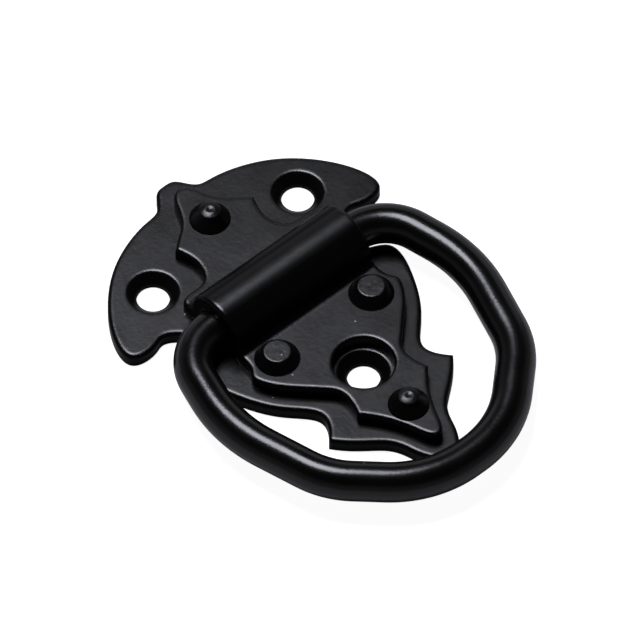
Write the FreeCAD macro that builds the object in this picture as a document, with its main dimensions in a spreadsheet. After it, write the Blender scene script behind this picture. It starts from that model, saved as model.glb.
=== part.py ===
"""Ring pull handle: two riveted plates that hold a swinging ring in a bent saddle.

Millimetres, +Z up. The origin lies on the back face, under the middle of the hinge axis.
The hinge axis runs along X, the fan of the base plate points to +Y and its tail to -Y.
"""
import FreeCAD, Part
import math
import os

import Sketcher

# Driving dimensions, in millimetres and degrees
SIZES = {
    "base_thickness": 2.3,
    "base_edge_radius": 0.6,
    "cover_thickness": 2.4,
    "cover_edge_radius": 0.5,
    "bar_diameter": 6.3,
    "bar_lift": 0.3,
    "bar_running_clearance": 0.1,
    "bar_butt_gap": 0.4,
    "bar_end_play": 0.5,
    "saddle_length": 27.4,
    "saddle_foot_radius": 1.3,
    "saddle_front_lead": 1.8,
    "saddle_rear_lead": 2.4,
    "ring_shoulder_radius": 8.2,
    "ring_flare": 2.3,
    "ring_side_drop": 16.0,
    "ring_side_radius": 24.0,
    "ring_corner_drop": 17.3,
    "ring_corner_tuck": 5.2,
    "ring_corner_radius": 14.5,
    "ring_toe_drop": 11.0,
    "ring_toe_radius": 18.0,
    "ring_toe_flat": 1.3,
    "screw_spacing": 29.6,
    "screw_fan_y": 13.4,
    "screw_tail_y": -19.4,
    "screw_hole_diameter": 5.2,
    "screw_head_diameter": 8.2,
    "screw_head_angle": 90.0,
    "screw_rim_radius": 0.3,
    "cover_hole_margin": 0.7,
    "cover_hole_rim_radius": 0.4,
    "rivet_side_x": 9.6,
    "rivet_side_y": -10.1,
    "rivet_top_y": 17.1,
    "rivet_tail_y": -30.0,
    "rivet_shank_diameter": 3.2,
    "rivet_hole_clearance": 0.05,
    "rivet_tail_diameter": 5.0,
    "rivet_tail_angle": 90.0,
    "flat_head_diameter": 6.8,
    "flat_head_top_diameter": 4.4,
    "flat_head_height": 1.9,
    "flat_head_rim_radius": 0.4,
    "dome_head_diameter": 6.5,
    "dome_flank_height": 1.3,
    "dome_cap_diameter": 3.0,
    "dome_cap_height": 1.3,
}

# Poles of the outline curves, right half, in plan; the left half is their mirror image
POLES = {
    "base_lobe_crown": (0, 28.1),
    "base_lobe_side": (2.1, 28.2),
    "base_lobe_root": (3.9, 24.3),
    "base_fan_root": (7.2, 24.9),
    "base_fan_top": (16.9, 21.7),
    "base_fan_side": (24.6, 13.3),
    "base_horn_outer": (27.1, 5.1),
    "base_horn_inner": (20.7, 5.0),
    "base_notch_top": (19.3, 6.5),
    "base_notch_side": (15.6, 3.9),
    "base_neck": (13.6, -1.6),
    "base_shoulder": (20.9, -2.4),
    "base_flank_upper": (18.3, -10.4),
    "base_flank_lower": (14.6, -17.0),
    "base_waist": (8.9, -21.2),
    "base_barb_heel": (11.2, -24.3),
    "base_barb": (12.7, -25.9),
    "base_blade_upper": (10.4, -29.0),
    "base_blade_middle": (5.0, -31.9),
    "base_blade_lower": (4.3, -36.6),
    "base_point_side": (1.8, -40.3),
    "base_point": (0, -41.3),
    "cover_crown": (0, 25.1),
    "cover_crown_side": (1.8, 24.0),
    "cover_crest": (2.8, 21.2),
    "cover_crest_foot": (4.1, 18.8),
    "cover_wing": (6.5, 17.3),
    "cover_wing_barb": (8.0, 16.0),
    "cover_throat": (6.9, 13.3),
    "cover_throat_foot": (7.0, 11.2),
    "cover_flare": (8.4, 7.4),
    "cover_ear": (15.7, -9.6),
    "cover_flank": (13.6, -14.2),
    "cover_waist_upper": (7.1, -20.0),
    "cover_waist_lower": (5.6, -21.9),
    "cover_tail_barb": (7.2, -26.3),
    "cover_blade_upper": (5.2, -28.6),
    "cover_blade_middle": (3.9, -30.6),
    "cover_blade_lower": (2.4, -33.8),
    "cover_point_side": (1.5, -36.6),
    "cover_point": (0, -37.6),
}

SHEET = "sizes"
CURVE_DEGREE = 3
POLE_WEIGHT = 1.0
SOLVED = 1e-6
VOLUME_TOLERANCE = 0.001


class Size:
    """A number together with the sheet formula that it comes from."""

    def __init__(self, value, formula):
        self.value = float(value)
        self.formula = formula

    @staticmethod
    def of(other):
        """Give other as a Size."""
        return other if isinstance(other, Size) else Size(other, repr(float(other)))

    def __add__(self, other):
        other = Size.of(other)
        return Size(self.value + other.value, f"({self.formula} + {other.formula})")

    def __sub__(self, other):
        other = Size.of(other)
        return Size(self.value - other.value, f"({self.formula} - {other.formula})")

    def __mul__(self, other):
        other = Size.of(other)
        return Size(self.value * other.value, f"({self.formula} * {other.formula})")

    def __truediv__(self, other):
        other = Size.of(other)
        return Size(self.value / other.value, f"({self.formula} / {other.formula})")

    def __neg__(self):
        return Size(-self.value, f"(-1 * {self.formula})")

    def root(self):
        """Square root."""
        return Size(math.sqrt(self.value), f"sqrt({self.formula})")


def write_sheet(doc):
    """Write every driving dimension to an aliased cell of the sheet."""
    sheet = doc.addObject("Spreadsheet::Sheet", SHEET)
    cells = dict(SIZES)
    for name, (x, y) in POLES.items():
        if x:
            cells[f"{name}_x"] = x
        cells[f"{name}_y"] = y
    for row, (name, value) in enumerate(cells.items(), start=1):
        sheet.set(f"A{row}", name)
        sheet.set(f"B{row}", str(value))
        sheet.setAlias(f"B{row}", name)
    doc.recompute()


def size(name):
    """A driving dimension by its alias."""
    return Size(SIZES[name], f"{SHEET}.{name}")


def pole(name):
    """A named pole in plan; its X is None on the line of symmetry."""
    x, y = POLES[name]
    sideways = Size(x, f"{SHEET}.{name}_x") if x else None
    return sideways, Size(y, f"{SHEET}.{name}_y")


def mirrored(point):
    """The same point on the left half."""
    return -point[0], point[1]


# Heights and radii that several pieces share
COVER_TOP = size("base_thickness") + size("cover_thickness")
HINGE_HEIGHT = size("base_thickness") + size("bar_lift") + size("bar_diameter") / 2
SADDLE_INSIDE = size("bar_diameter") / 2 + size("bar_running_clearance")
SADDLE_OUTSIDE = SADDLE_INSIDE + size("cover_thickness")
SADDLE_HALF = size("saddle_length") / 2
FOOT_RISE = COVER_TOP + size("saddle_foot_radius")
FOOT_REACH = SADDLE_OUTSIDE + size("saddle_foot_radius")
SADDLE_FOOT_Y = (FOOT_REACH * FOOT_REACH - (HINGE_HEIGHT - FOOT_RISE) * (HINGE_HEIGHT - FOOT_RISE)).root()
RIVET_HOLE_DIAMETER = size("rivet_shank_diameter") + size("rivet_hole_clearance") * 2
RIVET_SINK_DIAMETER = size("rivet_tail_diameter") + size("rivet_hole_clearance") * 2
COVER_HOLE_DIAMETER = size("screw_head_diameter") + size("cover_hole_margin") * 2

# Rivets by node name: head form, place in plan
RIVETS = {
    "rivet_flat_left": ("flat", -size("rivet_side_x"), size("rivet_side_y")),
    "rivet_flat_right": ("flat", size("rivet_side_x"), size("rivet_side_y")),
    "rivet_domed_top": ("dome", Size.of(0), size("rivet_top_y")),
    "rivet_domed_tail": ("dome", Size.of(0), size("rivet_tail_y")),
}


def bind(thing, prop, amount):
    """Tie a property to the sheet."""
    thing.setExpression(prop, amount.formula)


def new_body(doc, label):
    """A body whose label names the sub-part."""
    body = doc.addObject("PartDesign::Body", label)
    body.Label = label
    return body


def origin_plane(body, role):
    """One of the body's own origin planes."""
    return next(plane for plane in body.Origin.OriginFeatures if plane.Role == role)


def new_sketch(body, name, role="XY_Plane", lift=None):
    """A sketch on an origin plane, lifted along its normal."""
    sketch = body.newObject("Sketcher::SketchObject", name)
    sketch.AttachmentSupport = [(origin_plane(body, role), "")]
    sketch.MapMode = "FlatFace"
    if lift is not None:
        bind(sketch, "AttachmentOffset.Base.z", lift)
    return sketch


def constrain(sketch, *terms):
    """Add a constraint; a Size as the last term is tied to the sheet."""
    amount = terms[-1]
    if isinstance(amount, Size):
        index = sketch.addConstraint(Sketcher.Constraint(*terms[:-1], amount.value))
        sketch.setExpression(f"Constraints[{index}]", amount.formula)
        return
    sketch.addConstraint(Sketcher.Constraint(*terms))


def pin_point(sketch, shape, end, point):
    """Hold a point of a sketch shape at a place in plan."""
    x, y = point
    if x is None:
        constrain(sketch, "PointOnObject", shape, end, -2)
    else:
        constrain(sketch, "DistanceX", -1, 1, shape, end, x)
    constrain(sketch, "DistanceY", -1, 1, shape, end, y)


def vector(point):
    """A sketch point as a vector."""
    x, y = point
    return FreeCAD.Vector(x.value if x else 0, y.value, 0)


def add_curve(sketch, points):
    """A clamped spline whose poles are the given points."""
    spans = len(points) - CURVE_DEGREE
    multiplicities = [CURVE_DEGREE + 1] + [1] * (spans - 1) + [CURVE_DEGREE + 1]
    curve = Part.BSplineCurve()
    curve.buildFromPolesMultsKnots(
        [vector(point) for point in points], multiplicities, range(spans + 1), False, CURVE_DEGREE
    )
    index = sketch.addGeometry(curve)
    for number, point in enumerate(points):
        mark = sketch.addGeometry(Part.Circle(vector(point), FreeCAD.Vector(0, 0, 1), POLE_WEIGHT), True)
        alignment = "InternalAlignment:Sketcher::BSplineControlPoint"
        constrain(sketch, alignment, mark, 3, index, number)
        constrain(sketch, "Weight", mark, POLE_WEIGHT)
        pin_point(sketch, mark, 3, point)


def add_line(sketch, start, end):
    """A straight run between two held points."""
    index = sketch.addGeometry(Part.LineSegment(vector(start), vector(end)))
    pin_point(sketch, index, 1, start)
    pin_point(sketch, index, 2, end)


def across(names):
    """Points of a run over the line of symmetry, from its left end to its right end."""
    half = [pole(name) for name in names]
    return [mirrored(point) for point in half[:0:-1]] + half


def add_circle(sketch, x, y, diameter):
    """A circle held by its centre and diameter."""
    index = sketch.addGeometry(
        Part.Circle(FreeCAD.Vector(x.value, y.value, 0), FreeCAD.Vector(0, 0, 1), diameter.value / 2)
    )
    constrain(sketch, "DistanceX", -1, 1, index, 3, x)
    constrain(sketch, "DistanceY", -1, 1, index, 3, y)
    constrain(sketch, "Diameter", index, diameter)


def add_pad(body, sketch, name, length, both_ways=False):
    """Extrude a sketch along its normal, or half to each side of it."""
    pad = body.newObject("PartDesign::Pad", name)
    pad.Profile = sketch
    pad.SideType = "Symmetric" if both_ways else "One side"
    bind(pad, "Length", length)
    return pad


def cut_away(body, sketch, name):
    """Cut a sketch through the whole body."""
    pocket = body.newObject("PartDesign::Pocket", name)
    pocket.Profile = sketch
    pocket.SideType = "Symmetric"
    pocket.Type = "ThroughAll"
    return pocket


def sink_holes(doc, body, name, spots, lift, widths, angle, upwards):
    """Countersunk through holes, entered from above, or from below if upwards."""
    drill, head = widths
    sketch = new_sketch(body, f"{name}_places", lift=lift)
    for x, y in spots:
        add_circle(sketch, x, y, drill)
    doc.recompute()
    before = body.Shape.Volume
    hole = body.newObject("PartDesign::Hole", name)
    hole.Profile = sketch
    hole.Reversed = upwards
    hole.DepthType = "ThroughAll"
    hole.ThreadType = "None"
    bind(hole, "Diameter", drill)
    hole.HoleCutType = "Countersink"
    hole.HoleCutCustomValues = True
    bind(hole, "HoleCutDiameter", head)
    bind(hole, "HoleCutCountersinkAngle", angle)
    doc.recompute()
    if body.Shape.Volume >= before:
        raise RuntimeError(f"{name} cut nothing")


def round_edges(doc, body, name, radius, wanted):
    """Round the edges of the body's tip that wanted picks."""
    doc.recompute()
    tip = body.Tip
    picked = [f"Edge{number}" for number, edge in enumerate(tip.Shape.Edges, start=1) if wanted(edge)]
    fillet = body.newObject("PartDesign::Fillet", name)
    fillet.Base = (tip, picked)
    bind(fillet, "Radius", radius)
    doc.recompute()


def lies_at(edge, height):
    """Whether an edge lies flat at a height."""
    box = edge.BoundBox
    return abs(box.ZMin - height) < SOLVED and abs(box.ZMax - height) < SOLVED


def is_rim(edge, height):
    """Whether an edge is a curved run of a plate's rim at a height; the straight runs are tangent to it."""
    return lies_at(edge, height) and edge.Curve.TypeId == "Part::GeomBSplineCurve"


def is_hole_rim(edge, height, diameter):
    """Whether an edge is the rim of a round hole at a height."""
    if not lies_at(edge, height) or edge.Curve.TypeId != "Part::GeomCircle":
        return False
    return abs(edge.Curve.Radius - diameter / 2) < SOLVED


def rivet_places():
    """Places of the rivets in plan."""
    return [(x, y) for _, x, y in RIVETS.values()]


def make_base_plate(doc):
    """Back plate: fan, lobe and barbed tail, with the screw and rivet holes."""
    body = new_body(doc, "base_plate")
    outline = new_sketch(body, "base_outline")
    names = [name for name in POLES if name.startswith("base_")]
    turn = names.index("base_barb")
    add_curve(outline, across(names[:turn + 1]))
    add_curve(outline, across(names[:turn - 1:-1]))
    add_pad(body, outline, "base_sheet", size("base_thickness"))
    top = size("base_thickness").value
    round_edges(doc, body, "base_edge", size("base_edge_radius"), lambda edge: is_rim(edge, top))
    screws = [
        (-size("screw_spacing") / 2, size("screw_fan_y")),
        (size("screw_spacing") / 2, size("screw_fan_y")),
        (Size.of(0), size("screw_tail_y")),
    ]
    widths = (size("screw_hole_diameter"), size("screw_head_diameter"))
    angle = size("screw_head_angle")
    sink_holes(doc, body, "screw_holes", screws, size("base_thickness"), widths, angle, upwards=False)
    head = size("screw_head_diameter").value
    round_edges(doc, body, "screw_rims", size("screw_rim_radius"), lambda edge: is_hole_rim(edge, top, head))
    widths = (RIVET_HOLE_DIAMETER, RIVET_SINK_DIAMETER)
    angle = size("rivet_tail_angle")
    sink_holes(doc, body, "rivet_holes", rivet_places(), None, widths, angle, upwards=True)
    return body


def arc_between(centre, radius, start, end):
    """The arc of a circle that runs anticlockwise from one bearing to another, in radians."""
    circle = Part.Circle(FreeCAD.Vector(*centre, 0), FreeCAD.Vector(0, 0, 1), radius)
    return Part.ArcOfCircle(circle, start, end)


def draw_saddle(sketch):
    """Section of the bent sheet: a half-round over the bar that runs out into the two flats."""
    foot_y, rise = SADDLE_FOOT_Y.value, FOOT_RISE.value
    lean = math.atan2(rise - HINGE_HEIGHT.value, foot_y)
    faces = []
    for hump, foot in (
        (SADDLE_OUTSIDE, size("saddle_foot_radius")),
        (SADDLE_INSIDE, size("saddle_foot_radius") + size("cover_thickness")),
    ):
        over = sketch.addGeometry(arc_between((0, HINGE_HEIGHT.value), hump.value, lean, math.pi - lean))
        right = sketch.addGeometry(arc_between((foot_y, rise), foot.value, math.pi + lean, 1.5 * math.pi))
        left = sketch.addGeometry(arc_between((-foot_y, rise), foot.value, 1.5 * math.pi, 2 * math.pi - lean))
        pin_point(sketch, over, 3, (None, HINGE_HEIGHT))
        constrain(sketch, "Radius", over, hump)
        pin_point(sketch, right, 3, (SADDLE_FOOT_Y, FOOT_RISE))
        pin_point(sketch, left, 3, (-SADDLE_FOOT_Y, FOOT_RISE))
        constrain(sketch, "Tangent", over, 1, right, 1)
        constrain(sketch, "Tangent", over, 2, left, 2)
        constrain(sketch, "Vertical", right, 3, right, 2)
        constrain(sketch, "Vertical", left, 3, left, 1)
        faces.append((left, right))
    (outer_left, outer_right), (inner_left, inner_right) = faces
    for outer, inner, end, side in ((outer_left, inner_left, 1, -1), (outer_right, inner_right, 2, 1)):
        low = FreeCAD.Vector(side * foot_y, size("base_thickness").value, 0)
        high = FreeCAD.Vector(side * foot_y, COVER_TOP.value, 0)
        edge = sketch.addGeometry(Part.LineSegment(low, high))
        constrain(sketch, "Coincident", edge, 1, inner, end)
        constrain(sketch, "Coincident", edge, 2, outer, end)


def make_cover_plate(doc):
    """Cover plate: barbed leaves on both sides of the saddle that holds the bar."""
    body = new_body(doc, "cover_plate")
    outline = new_sketch(body, "cover_outline", lift=size("base_thickness"))
    names = [name for name in POLES if name.startswith("cover_")]
    wing = names.index("cover_wing_barb")
    flare = names.index("cover_flare")
    barb = names.index("cover_tail_barb")
    front_corner = (SADDLE_HALF, SADDLE_FOOT_Y)
    front_lead = (SADDLE_HALF, SADDLE_FOOT_Y + size("saddle_front_lead"))
    rear_corner = (SADDLE_HALF, -SADDLE_FOOT_Y)
    rear_lead = (SADDLE_HALF, -(SADDLE_FOOT_Y + size("saddle_rear_lead")))
    front_side = [pole(name) for name in names[wing:flare + 1]] + [front_lead, front_corner]
    rear_side = [rear_corner, rear_lead] + [pole(name) for name in names[flare + 1:barb + 1]]
    add_curve(outline, across(names[:wing + 1]))
    add_curve(outline, across(names[:barb - 1:-1]))
    for side in (front_side, rear_side):
        add_curve(outline, side)
        add_curve(outline, [mirrored(point) for point in side])
    add_line(outline, front_corner, rear_corner)
    add_line(outline, mirrored(front_corner), mirrored(rear_corner))
    add_pad(body, outline, "cover_sheet", size("cover_thickness"))

    band = new_sketch(body, "saddle_band", lift=size("base_thickness"))
    corners = [front_corner, rear_corner, mirrored(rear_corner), mirrored(front_corner)]
    for start, end in zip(corners, corners[1:] + corners[:1]):
        add_line(band, start, end)
    cut_away(body, band, "saddle_opening")
    section = new_sketch(body, "saddle_section", role="YZ_Plane")
    draw_saddle(section)
    add_pad(body, section, "saddle", size("saddle_length"), both_ways=True)
    top = COVER_TOP.value
    round_edges(doc, body, "cover_edge", size("cover_edge_radius"), lambda edge: is_rim(edge, top))

    holes = new_sketch(body, "cover_holes", lift=size("base_thickness"))
    for x, y in rivet_places():
        add_circle(holes, x, y, RIVET_HOLE_DIAMETER)
    add_circle(holes, Size.of(0), size("screw_tail_y"), COVER_HOLE_DIAMETER)
    cut_away(body, holes, "cover_drilling")
    wide = COVER_HOLE_DIAMETER.value
    radius = size("cover_hole_rim_radius")
    round_edges(doc, body, "cover_hole_rim", radius, lambda edge: is_hole_rim(edge, top, wide))
    return body


def heading(start, end):
    """Unit direction from one vector to another."""
    step = end - start
    return step / step.Length


def right_of(direction):
    """The direction a quarter turn to the right."""
    return FreeCAD.Vector(direction.y, -direction.x, 0)


def right_arc(centre, start, end):
    """A right-hand bend; its second end point is where the path comes in."""
    inward = start - centre
    outward = end - centre
    return arc_between(
        (centre.x, centre.y),
        inward.Length,
        math.atan2(outward.y, outward.x),
        math.atan2(inward.y, inward.x),
    )


def tangent_heading(start, centre, radius):
    """Unit direction of the line from a point that passes a circle on the circle's left side."""
    reach = centre - start
    bearing = math.atan2(reach.y, reach.x) + math.asin(radius / reach.Length)
    return FreeCAD.Vector(math.cos(bearing), math.sin(bearing), 0)


def draw_ring_half(sketch):
    """Centreline of the right half of the bar, from its butt end to the middle of the toe."""
    bend_start = SADDLE_HALF + size("bar_end_play")
    shoulder = size("ring_shoulder_radius")
    side = (bend_start + shoulder + size("ring_flare"), -size("ring_side_drop"))
    corner = (side[0] - size("ring_corner_tuck"), side[1] - size("ring_corner_drop"))
    toe = (size("ring_toe_flat") / 2, corner[1] - size("ring_toe_drop"))
    toe_radius = size("ring_toe_radius")

    bar_end = FreeCAD.Vector(bend_start.value, 0, 0)
    bar = sketch.addGeometry(Part.LineSegment(FreeCAD.Vector(size("bar_butt_gap").value / 2, 0, 0), bar_end))
    constrain(sketch, "DistanceX", -1, 1, bar, 1, size("bar_butt_gap") / 2)
    constrain(sketch, "DistanceX", -1, 1, bar, 2, bend_start)
    constrain(sketch, "PointOnObject", bar, 1, -1)
    constrain(sketch, "PointOnObject", bar, 2, -1)

    # Headings of the straight runs: past the shoulder, down the side, past the corner, along the toe
    shoulder_centre = bar_end - FreeCAD.Vector(0, shoulder.value, 0)
    toe_centre = vector(toe) + FreeCAD.Vector(0, toe_radius.value, 0)
    headings = [
        -tangent_heading(vector(side), shoulder_centre, -shoulder.value),
        heading(vector(side), vector(corner)),
        tangent_heading(vector(corner), toe_centre, toe_radius.value),
        FreeCAD.Vector(-1, 0, 0),
    ]
    toe_turn = headings[2].getAngle(headings[3])
    toe_corner = vector(toe) + FreeCAD.Vector(toe_radius.value * math.tan(toe_turn / 2), 0, 0)

    place = shoulder_centre - right_of(headings[0]) * shoulder.value
    bend = sketch.addGeometry(right_arc(shoulder_centre, bar_end, place))
    constrain(sketch, "Tangent", bar, 2, bend, 2)
    constrain(sketch, "Radius", bend, shoulder)
    runs = []
    turns = (
        (vector(side), size("ring_side_radius")),
        (vector(corner), size("ring_corner_radius")),
        (toe_corner, toe_radius),
    )
    for (meeting, radius), along, onward in zip(turns, headings, headings[1:]):
        setback = radius.value * math.tan(along.getAngle(onward) / 2)
        start = meeting - along * setback
        end = meeting + onward * setback
        run = sketch.addGeometry(Part.LineSegment(place, start))
        constrain(sketch, "Tangent", bend, 1, run, 1)
        bend = sketch.addGeometry(right_arc(start + right_of(along) * radius.value, start, end))
        constrain(sketch, "Tangent", run, 2, bend, 2)
        constrain(sketch, "Radius", bend, radius)
        runs.append(run)
        place = end
    last = sketch.addGeometry(Part.LineSegment(place, FreeCAD.Vector(0, toe[1].value, 0)))
    constrain(sketch, "Tangent", bend, 1, last, 1)
    pin_point(sketch, last, 1, toe)
    constrain(sketch, "Horizontal", last)
    constrain(sketch, "PointOnObject", last, 2, -2)
    for point, before, after in ((side, runs[0], runs[1]), (corner, runs[1], runs[2])):
        mark = sketch.addGeometry(Part.Point(vector(point)), True)
        pin_point(sketch, mark, 1, point)
        constrain(sketch, "PointOnObject", mark, 1, before)
        constrain(sketch, "PointOnObject", mark, 1, after)


def make_pull_ring(doc):
    """Ring: one round bar bent into a D, its ends butted inside the saddle."""
    body = new_body(doc, "pull_ring")
    path = new_sketch(body, "ring_path", lift=HINGE_HEIGHT)
    draw_ring_half(path)
    section = new_sketch(body, "bar_section", role="YZ_Plane", lift=size("bar_butt_gap") / 2)
    add_circle(section, Size.of(0), HINGE_HEIGHT, size("bar_diameter"))
    doc.recompute()
    half = body.newObject("PartDesign::AdditivePipe", "ring_half")
    half.Profile = section
    half.Spine = path
    doc.recompute()
    whole = body.newObject("PartDesign::Mirrored", "ring_whole")
    whole.Originals = [half]
    whole.MirrorPlane = (origin_plane(body, "YZ_Plane"), [""])
    body.Tip = whole
    doc.recompute()
    length = 2 * sum(edge.Length for edge in path.Shape.Edges)
    wanted = length * math.pi * (size("bar_diameter").value / 2) ** 2
    if abs(body.Shape.Volume / wanted - 1) > VOLUME_TOLERANCE:
        raise RuntimeError("the ring's volume is not its section times its length")
    return body


def draw_profile(sketch, points):
    """A closed outline of straight sides through held points."""
    for start, end in zip(points, points[1:] + points[:1]):
        add_line(sketch, start, end)


def make_rivet(doc, node, form, x, y):
    """Rivet: countersunk tail flush with the back, shank, and a head on the cover plate."""
    body = new_body(doc, node)
    section = new_sketch(body, f"{node}_section", role="XZ_Plane")
    shank = size("rivet_shank_diameter") / 2
    tail = size("rivet_tail_diameter") / 2
    sink = math.tan(math.radians(SIZES["rivet_tail_angle"] / 2))
    sink = Size(sink, f"tan({SHEET}.rivet_tail_angle / 2 * 1deg)")
    neck = (tail - shank) / sink
    axis_low = (None, Size.of(0))
    profile = [axis_low, (tail, Size.of(0)), (shank, neck), (shank, COVER_TOP)]
    if form == "flat":
        rim = size("flat_head_diameter") / 2
        crown = COVER_TOP + size("flat_head_height")
        profile += [(rim, COVER_TOP), (size("flat_head_top_diameter") / 2, crown), (None, crown)]
        draw_profile(section, profile)
    else:
        draw_dome(section, profile)
    turned = body.newObject("PartDesign::Revolution", f"{node}_turned")
    turned.Profile = section
    turned.ReferenceAxis = (section, ["V_Axis"])
    turned.Angle = 360
    doc.recompute()
    if form == "flat":
        crown = crown.value
        round_edges(doc, body, f"{node}_rim", size("flat_head_rim_radius"), lambda edge: lies_at(edge, crown))
    bind(body, "Placement.Base.x", x)
    bind(body, "Placement.Base.y", y)
    doc.recompute()
    return body


def draw_dome(section, profile):
    """Close a rivet's section with a sloping flank and a domed cap."""
    half = size("dome_cap_diameter") / 2
    rise = size("dome_cap_height")
    ball = (half * half + rise * rise) / (rise * 2)
    foot = COVER_TOP + size("dome_flank_height")
    middle = foot + rise - ball
    rim = (size("dome_head_diameter") / 2, COVER_TOP)
    cap_edge = (half, foot)
    crown = (None, foot + rise)
    stops = profile + [rim, cap_edge]
    for start, end in zip(stops, stops[1:]):
        add_line(section, start, end)
    bearing = math.atan2(foot.value - middle.value, half.value)
    dome = section.addGeometry(arc_between((0, middle.value), ball.value, bearing, math.pi / 2))
    pin_point(section, dome, 3, (None, middle))
    pin_point(section, dome, 1, cap_edge)
    constrain(section, "PointOnObject", dome, 2, -2)
    add_line(section, crown, profile[0])


def check(doc, bodies):
    """Stop if anything in the document failed or a sub-part is not one valid solid."""
    for thing in doc.Objects:
        if {"Invalid", "Error"} & set(thing.State):
            raise RuntimeError(f"{thing.Name} failed: {thing.State}")
    for body in bodies:
        shape = body.Shape
        if shape.isNull() or not shape.isValid() or len(shape.Solids) != 1:
            raise RuntimeError(f"{body.Label} is not one valid solid")


def main():
    """Build the pieces and write one file for each."""
    doc = FreeCAD.newDocument("ring_pull_handle")
    write_sheet(doc)
    bodies = [make_base_plate(doc), make_cover_plate(doc), make_pull_ring(doc)]
    for node, (form, x, y) in RIVETS.items():
        bodies.append(make_rivet(doc, node, form, x, y))
    doc.recompute()
    check(doc, bodies)
    os.makedirs("parts", exist_ok=True)
    for body in bodies:
        body.Shape.exportStep(os.path.join("parts", f"{body.Label}.step"))
        print(body.Label, round(body.Shape.Volume, 1), "mm3")


main()
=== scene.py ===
"""Ring pull handle in black enamelled steel, dressed and lit as a studio picture.

Metres, +Z up. The origin lies on the back face, under the middle of the hinge axis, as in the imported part.
Values whose names end in _mm are millimetres, and MM turns them to metres.
"""

import logging
import math
from dataclasses import dataclass, field
from enum import Enum
from typing import Any

import bpy
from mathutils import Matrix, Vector


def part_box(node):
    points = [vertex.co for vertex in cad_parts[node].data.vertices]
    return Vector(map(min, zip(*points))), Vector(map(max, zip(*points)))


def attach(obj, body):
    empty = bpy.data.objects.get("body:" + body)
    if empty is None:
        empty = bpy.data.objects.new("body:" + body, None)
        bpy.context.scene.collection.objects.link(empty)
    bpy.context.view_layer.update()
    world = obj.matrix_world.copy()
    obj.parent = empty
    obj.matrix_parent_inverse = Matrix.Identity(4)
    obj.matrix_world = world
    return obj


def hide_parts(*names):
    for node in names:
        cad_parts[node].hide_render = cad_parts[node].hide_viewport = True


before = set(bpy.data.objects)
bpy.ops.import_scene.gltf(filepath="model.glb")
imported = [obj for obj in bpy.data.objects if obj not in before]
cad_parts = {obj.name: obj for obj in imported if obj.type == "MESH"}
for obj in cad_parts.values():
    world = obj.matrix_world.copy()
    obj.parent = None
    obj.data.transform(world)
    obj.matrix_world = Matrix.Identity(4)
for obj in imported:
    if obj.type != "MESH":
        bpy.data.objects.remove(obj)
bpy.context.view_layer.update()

log = logging.getLogger("ring_pull_handle")

MM = 0.001

# The body that carries the rivets, and their slot in the record
PLATE_BODY = "plate"

# Points of a turned piece that lie closer than this are merged, and edges flatter than this are smooth
MERGE_MM = 0.001
SMOOTH_DEG = 40

# Sockets of a colour mix, by number because the node's other kinds repeat their names
MIX_SHARE = 0
MIX_FIRST = 6
MIX_SECOND = 7
MIX_RESULT = 2


class Head(Enum):
    """The two forms of rivet head."""

    FLAT = "flat"
    DOMED = "domed"


class Ends(Enum):
    """How the open ends of a turned form are closed."""

    FILLED = "filled"
    BRIDGED = "bridged"


class LampShape(Enum):
    """The shapes of the studio's lamps."""

    DISK = "DISK"
    RECTANGLE = "RECTANGLE"


def linear(colour: str) -> tuple[float, float, float, float]:
    """Turn an sRGB colour into linear light.

    Args:
        colour: a hash sign and six hex digits.

    Returns:
        Red, green and blue in linear light, and an alpha of one.
    """
    channels = [int(colour[place:place + 2], 16) / 255 for place in (1, 3, 5)]
    red, green, blue = (
        value / 12.92 if value <= 0.04045 else ((value + 0.055) / 1.055) ** 2.4 for value in channels
    )
    return red, green, blue, 1.0


def per_metre(cell_mm: float) -> float:
    """Give the texture scale at which a pattern's cell has this size."""
    return 1.0 / (cell_mm * MM)


def add_node(
    tree: bpy.types.NodeTree,
    kind: str,
    settings: dict[str | int, Any],
    links: dict[str | int, bpy.types.NodeSocket],
) -> bpy.types.Node:
    """Add a node with its settings and links.

    Args:
        tree: the node tree that gets the node.
        kind: the node's type.
        settings: values of its properties by name, and of its inputs by name or number.
        links: sockets that feed its inputs, by the input's name or number.

    Returns:
        The new node.
    """
    node = tree.nodes.new(kind)
    for name, value in settings.items():
        if isinstance(name, str) and hasattr(node, name):
            setattr(node, name, value)
        else:
            node.inputs[name].default_value = value
    for name, socket in links.items():
        tree.links.new(socket, node.inputs[name])
    return node


def empty_material(name: str) -> bpy.types.Material:
    """Make a material with no nodes.

    Args:
        name: the material's name.

    Returns:
        The material, ready for its nodes.
    """
    made = bpy.data.materials.new(name)
    made.use_nodes = True
    made.node_tree.nodes.clear()
    return made


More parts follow.
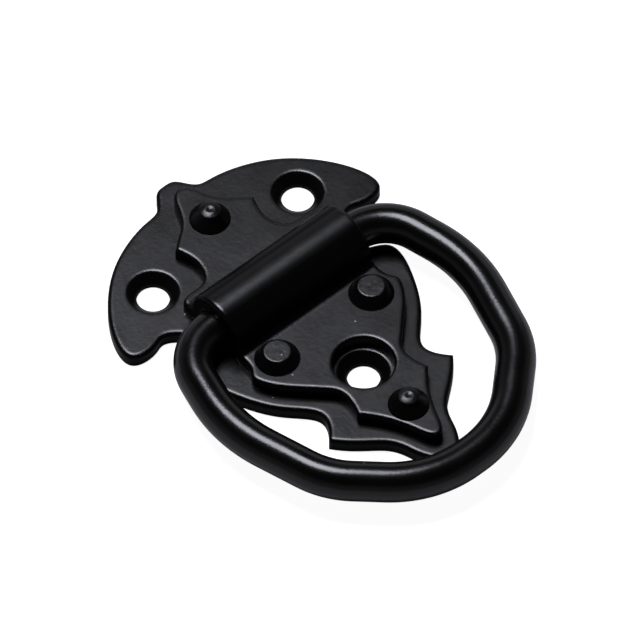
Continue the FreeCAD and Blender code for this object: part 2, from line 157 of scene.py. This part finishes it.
@dataclass(frozen=True)
class Enamel:
    """Black baked enamel over steel.

    The eye sees a nearly black film with a satin to gloss sheen, faint orange peel that breaks its
    reflections up, duller patches where it was handled, and a few pale specks of dust. Where it was
    sprayed from above, it flowed out and shines on level faces, and it dried first and stays dead black
    on walls and flanks. On sheet it is rubbed brighter along the edges.

    level_band is the upward part of the normal on a steep and on a level face. edge_bend is the cosine
    between the true and the rounded normal where the rubbing starts and where it is full. patch_span
    holds most of the values of the patches' noise.
    """

    name: str
    film: str
    handled: str
    dust: str
    roughness: float
    roughness_swing: float
    patch_mm: float
    peel_mm: float
    peel_depth_mm: float
    edge_round_mm: float
    dust_cell_mm: float
    dust_radius_mm: float
    dust_share: float
    dust_roughness: float = 0.3
    patch_detail: float = 5.0
    patch_grain: float = 0.6
    patch_span: tuple[float, float] = (0.3, 0.7)
    peel_detail: float = 2.0
    peel_grain: float = 0.55
    edge_rays: int = 8
    index: float = 1.5
    mirror: float = 0.5
    dry_mirror: float = 0.05
    level_band: tuple[float, float] = (0.8, 0.97)
    edge_shine: float = 1.0
    edge_bend: tuple[float, float] = (0.999, 0.985)

    def material(self) -> bpy.types.Material:
        """Build the material.

        Returns:
            The finished material.
        """
        made = empty_material(self.name)
        tree = made.node_tree
        surface = add_node(tree, "ShaderNodeTexCoord", {}, {})
        place = surface.outputs["Object"]
        level = self.level_mask(tree, surface.outputs["Normal"])
        dust = self.dust_mask(tree, place, level)
        patches = add_node(
            tree,
            "ShaderNodeTexNoise",
            {"Scale": per_metre(self.patch_mm), "Detail": self.patch_detail, "Roughness": self.patch_grain},
            {"Vector": place},
        ).outputs["Fac"]
        soft_edge = add_node(
            tree,
            "ShaderNodeBevel",
            {"samples": self.edge_rays, "Radius": self.edge_round_mm * MM},
            {},
        ).outputs["Normal"]
        shader = add_node(
            tree,
            "ShaderNodeBsdfPrincipled",
            {"IOR": self.index, "Specular IOR Level": self.mirror},
            {
                "Base Color": self.colour(tree, patches, dust),
                "Roughness": self.sheen(tree, patches, dust),
                "Normal": self.orange_peel(tree, place, soft_edge),
            },
        )
        if self.dry_mirror < self.mirror:
            tree.links.new(self.shine(tree, level, soft_edge), shader.inputs["Specular IOR Level"])
        add_node(tree, "ShaderNodeOutputMaterial", {}, {"Surface": shader.outputs["BSDF"]})
        return made

    def level_mask(self, tree: bpy.types.NodeTree, normal: bpy.types.NodeSocket) -> bpy.types.NodeSocket:
        """Tell level faces from steep ones.

        Args:
            tree: the material's node tree.
            normal: the face's normal.

        Returns:
            One on level faces, zero on steep ones.
        """
        facing = add_node(tree, "ShaderNodeSeparateXYZ", {}, {"Vector": normal})
        steep, flat = self.level_band
        mask = add_node(
            tree,
            "ShaderNodeMapRange",
            {"From Min": steep, "From Max": flat},
            {"Value": facing.outputs["Z"]},
        )
        return mask.outputs["Result"]

    def colour(
        self,
        tree: bpy.types.NodeTree,
        patches: bpy.types.NodeSocket,
        dust: bpy.types.NodeSocket,
    ) -> bpy.types.NodeSocket:
        """Mix the film with its handled patches, and lay the dust on it.

        Args:
            tree: the material's node tree.
            patches: the noise of the handled patches.
            dust: one on a speck of dust, zero elsewhere.

        Returns:
            The colour.
        """
        film = add_node(
            tree,
            "ShaderNodeMix",
            {"data_type": "RGBA", MIX_FIRST: linear(self.film), MIX_SECOND: linear(self.handled)},
            {MIX_SHARE: patches},
        )
        dusty = add_node(
            tree,
            "ShaderNodeMix",
            {"data_type": "RGBA", MIX_SECOND: linear(self.dust)},
            {MIX_SHARE: dust, MIX_FIRST: film.outputs[MIX_RESULT]},
        )
        return dusty.outputs[MIX_RESULT]

    def sheen(
        self,
        tree: bpy.types.NodeTree,
        patches: bpy.types.NodeSocket,
        dust: bpy.types.NodeSocket,
    ) -> bpy.types.NodeSocket:
        """Dull the film where it was handled, and more under dust.

        Args:
            tree: the material's node tree.
            patches: the noise of the handled patches.
            dust: one on a speck of dust, zero elsewhere.

        Returns:
            The roughness.
        """
        low, high = self.patch_span
        film = add_node(
            tree,
            "ShaderNodeMapRange",
            {
                "From Min": low,
                "From Max": high,
                "To Min": self.roughness - self.roughness_swing,
                "To Max": self.roughness + self.roughness_swing,
            },
            {"Value": patches},
        )
        dusty = add_node(
            tree,
            "ShaderNodeMath",
            {"operation": "MULTIPLY_ADD", 1: self.dust_roughness},
            {0: dust, 2: film.outputs["Result"]},
        )
        return dusty.outputs[0]

    def shine(
        self,
        tree: bpy.types.NodeTree,
        level: bpy.types.NodeSocket,
        soft_edge: bpy.types.NodeSocket,
    ) -> bpy.types.NodeSocket:
        """Take the shine off steep faces, and raise it along edges.

        An edge is where the rounded normal leaves the true one.

        Args:
            tree: the material's node tree.
            level: one on level faces, zero on steep ones.
            soft_edge: the normal, rounded at edges.

        Returns:
            The level of reflection.
        """
        flow = add_node(
            tree,
            "ShaderNodeMapRange",
            {"To Min": self.dry_mirror, "To Max": self.mirror},
            {"Value": level},
        )
        geometry = add_node(tree, "ShaderNodeNewGeometry", {}, {})
        bend = add_node(
            tree,
            "ShaderNodeVectorMath",
            {"operation": "DOT_PRODUCT"},
            {0: soft_edge, 1: geometry.outputs["Normal"]},
        )
        straight, bent = self.edge_bend
        rubbed = add_node(
            tree,
            "ShaderNodeMapRange",
            {"From Min": straight, "From Max": bent, "To Min": 1.0, "To Max": self.edge_shine},
            {"Value": bend.outputs["Value"]},
        )
        shine = add_node(
            tree,
            "ShaderNodeMath",
            {"operation": "MULTIPLY"},
            {0: flow.outputs["Result"], 1: rubbed.outputs["Result"]},
        )
        return shine.outputs[0]

    def orange_peel(
        self,
        tree: bpy.types.NodeTree,
        place: bpy.types.NodeSocket,
        soft_edge: bpy.types.NodeSocket,
    ) -> bpy.types.NodeSocket:
        """Ripple the film.

        Args:
            tree: the material's node tree.
            place: Object coordinates.
            soft_edge: the normal, rounded at edges.

        Returns:
            The rippled normal.
        """
        peel = add_node(
            tree,
            "ShaderNodeTexNoise",
            {"Scale": per_metre(self.peel_mm), "Detail": self.peel_detail, "Roughness": self.peel_grain},
            {"Vector": place},
        )
        ripple = add_node(
            tree,
            "ShaderNodeBump",
            {"Strength": 1.0, "Distance": self.peel_depth_mm * MM},
            {"Height": peel.outputs["Fac"], "Normal": soft_edge},
        )
        return ripple.outputs["Normal"]

    def dust_mask(
        self,
        tree: bpy.types.NodeTree,
        place: bpy.types.NodeSocket,
        level: bpy.types.NodeSocket,
    ) -> bpy.types.NodeSocket:
        """Scatter specks of dust on level faces, one in the middle of some of the cells.

        Args:
            tree: the material's node tree.
            place: Object coordinates.
            level: one on level faces, zero on steep ones.

        Returns:
            One on a speck, zero elsewhere.
        """
        cells = add_node(
            tree,
            "ShaderNodeTexVoronoi",
            {"Scale": per_metre(self.dust_cell_mm)},
            {"Vector": place},
        )
        lot = add_node(tree, "ShaderNodeSeparateColor", {}, {"Color": cells.outputs["Color"]})
        drawn = add_node(
            tree,
            "ShaderNodeMath",
            {"operation": "LESS_THAN", 1: self.dust_share},
            {0: lot.outputs["Red"]},
        )
        close = add_node(
            tree,
            "ShaderNodeMath",
            {"operation": "LESS_THAN", 1: self.dust_radius_mm / self.dust_cell_mm},
            {0: cells.outputs["Distance"]},
        )
        speck = add_node(
            tree,
            "ShaderNodeMath",
            {"operation": "MULTIPLY"},
            {0: drawn.outputs[0], 1: close.outputs[0]},
        )
        settled = add_node(
            tree,
            "ShaderNodeMath",
            {"operation": "MULTIPLY"},
            {0: speck.outputs[0], 1: level},
        )
        return settled.outputs[0]


# Satin film on flat stamped sheet. Its orange peel is drawn coarser than the real one, so that it shows
SHEET_ENAMEL = Enamel(
    name="satin_black_enamel_on_sheet",
    film="#070707",
    handled="#0d0d0c",
    dust="#b4b2aa",
    roughness=0.29,
    roughness_swing=0.03,
    patch_mm=5.0,
    peel_mm=0.8,
    peel_depth_mm=0.014,
    edge_round_mm=0.82,
    dust_cell_mm=2.0,
    dust_radius_mm=0.15,
    dust_share=0.1,
    level_band=(0.9, 0.985),
    edge_shine=2.0,
)

# Glossier film on drawn round bar, which was turned while it was sprayed and is polished by hands, so that
# it shines all round. Its orange peel is drawn coarser than the real one
BAR_ENAMEL = Enamel(
    name="gloss_black_enamel_on_bar",
    film="#060606",
    handled="#0b0b0b",
    dust="#a8a69f",
    roughness=0.22,
    roughness_swing=0.03,
    patch_mm=7.0,
    peel_mm=0.6,
    peel_depth_mm=0.015,
    edge_round_mm=0.3,
    dust_cell_mm=2.4,
    dust_radius_mm=0.12,
    dust_share=0.03,
    dry_mirror=0.5,
)

# Thicker satin film on upset rivet heads, with the marks of the setting tool under it. The marks are drawn
# coarser than the real ones
RIVET_ENAMEL = Enamel(
    name="satin_black_enamel_on_rivet",
    film="#070707",
    handled="#10100f",
    dust="#b4b2aa",
    roughness=0.295,
    roughness_swing=0.05,
    patch_mm=1.6,
    peel_mm=0.7,
    peel_depth_mm=0.03,
    edge_round_mm=0.3,
    dust_cell_mm=1.6,
    dust_radius_mm=0.12,
    dust_share=0.04,
)


def dress(node: str, material: bpy.types.Material) -> None:
    """Give a CAD node its finish.

    Args:
        node: the node's name.
        material: the finish.
    """
    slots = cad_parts[node].data.materials
    slots.clear()
    slots.append(material)
    log.info("dressed %s in %s", node, material.name)


@dataclass
class PlatePair:
    """The stamped base plate and the cover plate that is bent into the saddle."""

    nodes: tuple[str, ...] = ("base_plate", "cover_plate")
    enamel: Enamel = SHEET_ENAMEL

    def build(self) -> None:
        """Dress both plates."""
        finish = self.enamel.material()
        for node in self.nodes:
            dress(node, finish)


@dataclass
class PullRing:
    """The bent round bar."""

    node: str = "pull_ring"
    enamel: Enamel = BAR_ENAMEL

    def build(self) -> None:
        """Dress the ring."""
        dress(self.node, self.enamel.material())


@dataclass(frozen=True)
class Turning:
    """A form turned about an upright axis, given as rings from one end to the other.

    Each ring is a radius and a height above the back face, in millimetres.
    """

    rings: tuple[tuple[float, float], ...]
    ends: Ends
    corners: int = 96

    def model(self, name: str, foot: Vector) -> bpy.types.Object:
        """Model the form ring by ring.

        Args:
            name: the piece's name.
            foot: the point of the axis on the back face.

        Returns:
            The piece.
        """
        radius, height = self.rings[0]
        bpy.ops.object.select_all(action="DESELECT")
        bpy.ops.mesh.primitive_circle_add(
            vertices=self.corners, radius=radius * MM, location=foot + Vector((0, 0, height * MM))
        )
        piece = bpy.context.object
        piece.name = name
        bpy.ops.object.transform_apply(location=True)
        bpy.ops.object.mode_set(mode="EDIT")
        bpy.ops.mesh.select_all(action="SELECT")
        for next_radius, next_height in self.rings[1:]:
            factor = next_radius / radius
            rise = (next_height - height) * MM
            bpy.ops.mesh.extrude_edges_move(TRANSFORM_OT_translate={"value": (0, 0, rise)})
            bpy.ops.transform.resize(value=(factor, factor, 1), center_override=foot)
            radius = next_radius
            height = next_height
        bpy.ops.mesh.select_all(action="DESELECT")
        bpy.ops.mesh.select_non_manifold()
        if self.ends is Ends.BRIDGED:
            bpy.ops.mesh.bridge_edge_loops()
        else:
            # No limit on the sides of a hole
            bpy.ops.mesh.fill_holes(sides=0)
        bpy.ops.mesh.select_all(action="SELECT")
        bpy.ops.mesh.remove_doubles(threshold=MERGE_MM * MM)
        bpy.ops.mesh.normals_make_consistent(inside=False)
        bpy.ops.object.mode_set(mode="OBJECT")
        bpy.ops.object.shade_smooth_by_angle(angle=math.radians(SMOOTH_DEG))
        return piece


@dataclass
class RivetSet:
    """Four rivets.

    The flat pair has a bead of enamel that pooled round the foot of each head. The domed pair is modelled
    here: a steep flank, and a low crown that the setting punch dented in the middle.
    """

    heads: dict[Head, tuple[str, str]] = field(
        default_factory=lambda: {
            Head.FLAT: ("rivet_flat_left", "rivet_flat_right"),
            Head.DOMED: ("rivet_domed_top", "rivet_domed_tail"),
        }
    )
    enamel: Enamel = RIVET_ENAMEL
    foot_radius_mm: dict[Head, float] = field(default_factory=lambda: {Head.FLAT: 3.4, Head.DOMED: 3.25})
    flat_flank_slope: float = 0.63
    seat_mm: float = 4.7
    tail_radius_mm: float = 2.5
    shank_radius_mm: float = 1.6
    flank_top_mm: tuple[float, float] = (1.78, 6.62)
    crown_mm: float = 7.3
    crown_radius_mm: float = 1.66
    crown_ball_mm: float = 4.2
    dent_radius_mm: float = 0.85
    dent_depth_mm: float = 0.17
    crown_rings: int = 20
    bead_height_mm: float = 0.16
    bead_spread_mm: float = 0.2
    bead_sink_mm: float = 0.05
    bead_core_mm: float = 0.4
    bead_rings: int = 6

    def build(self) -> None:
        """Dress the flat rivets and bed them in their beads, and model the domed ones."""
        finish = self.enamel.material()
        flat = self.heads[Head.FLAT]
        domed = self.heads[Head.DOMED]
        for node in flat:
            dress(node, finish)
        rivet = Turning(self.domed_profile(), Ends.FILLED)
        rivets = self.model_pair(rivet, ("punched_rivet_top", "punched_rivet_tail"), domed, finish)
        for piece, node in zip(rivets, domed):
            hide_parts(node)
        bead = Turning(self.bead_profile(), Ends.BRIDGED)
        self.model_pair(bead, ("enamel_bead_left", "enamel_bead_right"), flat, finish)

    def model_pair(
        self,
        form: Turning,
        names: tuple[str, str],
        nodes: tuple[str, str],
        finish: bpy.types.Material,
    ) -> tuple[bpy.types.Object, bpy.types.Object]:
        """Model a piece at one rivet and copy it to the other of its kind.

        Args:
            form: the piece's form.
            names: the names of the two pieces.
            nodes: the two rivets.
            finish: the pieces' material.

        Returns:
            Both pieces.
        """
        start = self.foot(nodes[0])
        first = form.model(names[0], start)
        second = self.copy(first, names[1], self.foot(nodes[1]) - start)
        self.fit(first, finish)
        self.fit(second, finish)
        return first, second

    def fit(self, piece: bpy.types.Object, finish: bpy.types.Material) -> None:
        """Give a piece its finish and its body.

        Args:
            piece: the piece.
            finish: its material.
        """
        piece.data.materials.append(finish)
        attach(piece, PLATE_BODY)
        log.info("built %s", piece.name)

    def foot(self, node: str) -> Vector:
        """Give the point of a rivet's axis on the back face."""
        low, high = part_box(node)
        return Vector(((low[0] + high[0]) / 2, (low[1] + high[1]) / 2, 0))

    def domed_profile(self) -> tuple[tuple[float, float], ...]:
        """Draw a domed rivet from its countersunk tail to the middle of its dented crown.

        Returns:
            The rings.
        """
        shank = self.shank_radius_mm
        rings = [
            (self.tail_radius_mm, 0.0),
            (shank, self.tail_radius_mm - shank),
            (shank, self.seat_mm),
            (self.foot_radius_mm[Head.DOMED], self.seat_mm),
            self.flank_top_mm,
        ]
        for step in range(self.crown_rings):
            radius = self.crown_radius_mm * (1 - step / self.crown_rings)
            ball = self.crown_ball_mm - math.sqrt(self.crown_ball_mm ** 2 - radius ** 2)
            inside = min(radius / self.dent_radius_mm, 1)
            dent = self.dent_depth_mm * (1 + math.cos(math.pi * inside)) / 2
            rings.append((radius, self.crown_mm - ball - dent))
        return tuple(rings)

    def bead_profile(self) -> tuple[tuple[float, float], ...]:
        """Draw a flat rivet's bead, a hollow fillet from the plate up the flank, closed inside the rivet.

        Returns:
            The rings.
        """
        foot = self.foot_radius_mm[Head.FLAT]
        inner = foot - self.bead_height_mm * self.flat_flank_slope
        reach = foot - inner + self.bead_spread_mm
        bottom = self.seat_mm - self.bead_sink_mm
        rings = [(inner + reach, bottom)]
        for step in range(self.bead_rings + 1):
            turn = math.pi / 2 * step / self.bead_rings
            rings.append((
                inner + reach * (1 - math.sin(turn)),
                self.seat_mm + self.bead_height_mm * (1 - math.cos(turn)),
            ))
        core = inner - self.bead_core_mm
        rings.append((core, self.seat_mm + self.bead_height_mm))
        rings.append((core, bottom))
        return tuple(rings)

    def copy(self, piece: bpy.types.Object, name: str, shift: Vector) -> bpy.types.Object:
        """Copy a piece, with a mesh of its own, to the other rivet of its kind.

        Args:
            piece: the piece to copy.
            name: the copy's name.
            shift: the way from the one rivet to the other.

        Returns:
            The copy.
        """
        twin = piece.copy()
        twin.data = piece.data.copy()
        twin.name = name
        bpy.context.scene.collection.objects.link(twin)
        bpy.ops.object.select_all(action="DESELECT")
        twin.select_set(True)
        bpy.context.view_layer.objects.active = twin
        twin.location = shift
        bpy.ops.object.transform_apply(location=True)
        return twin


@dataclass(frozen=True)
class Lamp:
    """An area lamp, placed as the camera sees it: to its right, away from it, and up."""

    name: str
    shape: LampShape
    reach_m: tuple[float, float, float]
    size_m: tuple[float, float]
    power_w: float


# Draws the bright lines on the ring, the saddle and the edges
SOFTBOX = Lamp(
    name="softbox",
    shape=LampShape.DISK,
    reach_m=(-0.1, 0.158, 0.575),
    size_m=(0.285, 0.285),
    power_w=2.55,
)

# Lifts the level faces a little
BACK_PANEL = Lamp(
    name="back_panel",
    shape=LampShape.RECTANGLE,
    reach_m=(0.0, 1.6, 0.5),
    size_m=(2.4, 0.8),
    power_w=1.5,
)


@dataclass
class Studio:
    """A paper floor, a softbox overhead, a dim panel at the back, and the camera."""

    floor_size_m: float = 24.0
    floor_drop_mm: float = 0.05
    floor_glow: float = 0.94
    floor_mirror_glow: float = 0.02
    paper: str = "#cfcfcf"
    white: str = "#ffffff"
    room_glow: float = 0.008
    horizon_glow: float = 0.14
    horizon_band: tuple[float, float] = (0.2, 0.65)
    lamps: tuple[Lamp, ...] = (SOFTBOX, BACK_PANEL)
    lamplight: str = "#f3f4ff"
    azimuth_deg: float = -40.77
    elevation_deg: float = 53.68
    target_mm: tuple[float, float, float] = (-0.277, -9.392, 5.614)
    camera_distance_m: float = 3.0
    lens_mm: float = 1091.3

    def build(self) -> None:
        """Set the studio up."""
        self.lay_floor()
        self.dim_surround()
        for lamp in self.lamps:
            self.hang(lamp)
        self.aim_camera()
        bpy.context.scene.view_settings.view_transform = "Standard"
        log.info("studio ready")

    def seen_from_camera(self, right: float, away: float, up: float) -> Vector:
        """Turn a place given as the camera sees it into the frame's axes.

        Args:
            right: distance to the camera's right.
            away: level distance away from the camera.
            up: height.

        Returns:
            The place.
        """
        turn = math.radians(self.azimuth_deg)
        sideways = Vector((math.cos(turn), math.sin(turn), 0))
        onward = Vector((-math.sin(turn), math.cos(turn), 0))
        return sideways * right + onward * away + Vector((0, 0, up))

    def lay_floor(self) -> None:
        """Lay pale paper just under the back face."""
        bpy.ops.object.select_all(action="DESELECT")
        bpy.ops.mesh.primitive_plane_add(size=self.floor_size_m, location=(0, 0, -self.floor_drop_mm * MM))
        floor = bpy.context.object
        floor.name = "floor"
        bpy.ops.object.transform_apply(location=True)
        floor.data.materials.append(self.floor_paper())

    def floor_paper(self) -> bpy.types.Material:
        """Build the floor's paper.

        It glows to white for the camera, and hardly in reflections, so that the enamel stays dark.

        Returns:
            The paper's material.
        """
        made = empty_material("white_paper")
        tree = made.node_tree
        path = add_node(tree, "ShaderNodeLightPath", {}, {})
        bounced = add_node(
            tree,
            "ShaderNodeMath",
            {"operation": "MAXIMUM"},
            {0: path.outputs["Is Glossy Ray"], 1: path.outputs["Is Transmission Ray"]},
        )
        mirrored = add_node(
            tree,
            "ShaderNodeMath",
            {"operation": "MULTIPLY", 1: self.floor_mirror_glow},
            {0: bounced.outputs[0]},
        )
        seen = add_node(
            tree,
            "ShaderNodeMath",
            {"operation": "MULTIPLY_ADD", 1: self.floor_glow},
            {0: path.outputs["Is Camera Ray"], 2: mirrored.outputs[0]},
        )
        shader = add_node(
            tree,
            "ShaderNodeBsdfPrincipled",
            {
                "Base Color": linear(self.paper),
                "Roughness": 1.0,
                "Specular IOR Level": 0.0,
                "Emission Color": linear(self.white),
            },
            {"Emission Strength": seen.outputs[0]},
        )
        add_node(tree, "ShaderNodeOutputMaterial", {}, {"Surface": shader.outputs["BSDF"]})
        return made

    def dim_surround(self) -> None:
        """Keep the room dark overhead, so that the enamel stays black, with a dim glow low down."""
        room = bpy.data.worlds.new("dark_room")
        room.use_nodes = True
        tree = room.node_tree
        tree.nodes.clear()
        sight = add_node(tree, "ShaderNodeTexCoord", {}, {})
        rise = add_node(tree, "ShaderNodeSeparateXYZ", {}, {"Vector": sight.outputs["Generated"]})
        low, high = self.horizon_band
        glow = add_node(
            tree,
            "ShaderNodeMapRange",
            {
                "interpolation_type": "SMOOTHSTEP",
                "From Min": low,
                "From Max": high,
                "To Min": self.horizon_glow,
                "To Max": self.room_glow,
            },
            {"Value": rise.outputs["Z"]},
        )
        path = add_node(tree, "ShaderNodeLightPath", {}, {})
        strength = add_node(
            tree,
            "ShaderNodeMath",
            {"operation": "MAXIMUM"},
            {0: glow.outputs["Result"], 1: path.outputs["Is Camera Ray"]},
        )
        paint = add_node(
            tree,
            "ShaderNodeBackground",
            {"Color": linear(self.white)},
            {"Strength": strength.outputs[0]},
        )
        add_node(tree, "ShaderNodeOutputWorld", {}, {"Surface": paint.outputs["Background"]})
        bpy.context.scene.world = room

    def hang(self, lamp: Lamp) -> None:
        """Hang a lamp so that it faces the object.

        Args:
            lamp: the lamp.
        """
        bpy.ops.object.select_all(action="DESELECT")
        bpy.ops.object.light_add(type="AREA", location=self.seen_from_camera(*lamp.reach_m))
        hung = bpy.context.object
        hung.name = lamp.name
        hung.rotation_euler = hung.location.to_track_quat("Z", "Y").to_euler()
        hung.visible_camera = False
        hung.data.shape = lamp.shape.value
        hung.data.size, hung.data.size_y = lamp.size_m
        hung.data.energy = lamp.power_w
        hung.data.color = linear(self.lamplight)[:3]

    def aim_camera(self) -> None:
        """Stand far off with a long lens, so that the view is nearly parallel."""
        rise = math.radians(self.elevation_deg)
        back = self.seen_from_camera(0, -math.cos(rise), math.sin(rise))
        target = Vector(self.target_mm) * MM
        bpy.ops.object.camera_add(location=target + back * self.camera_distance_m)
        camera = bpy.context.object
        camera.rotation_euler = back.to_track_quat("Z", "Y").to_euler()
        camera.data.lens = self.lens_mm
        bpy.context.scene.camera = camera


def main() -> None:
    """Build and dress the sub-assemblies in order, then the studio."""
    logging.basicConfig(level=logging.INFO, format="%(name)s: %(message)s")
    bpy.ops.object.select_all(action="DESELECT")
    for assembly in (PlatePair(), PullRing(), RivetSet(), Studio()):
        assembly.build()


if __name__ == "__main__":
    main()
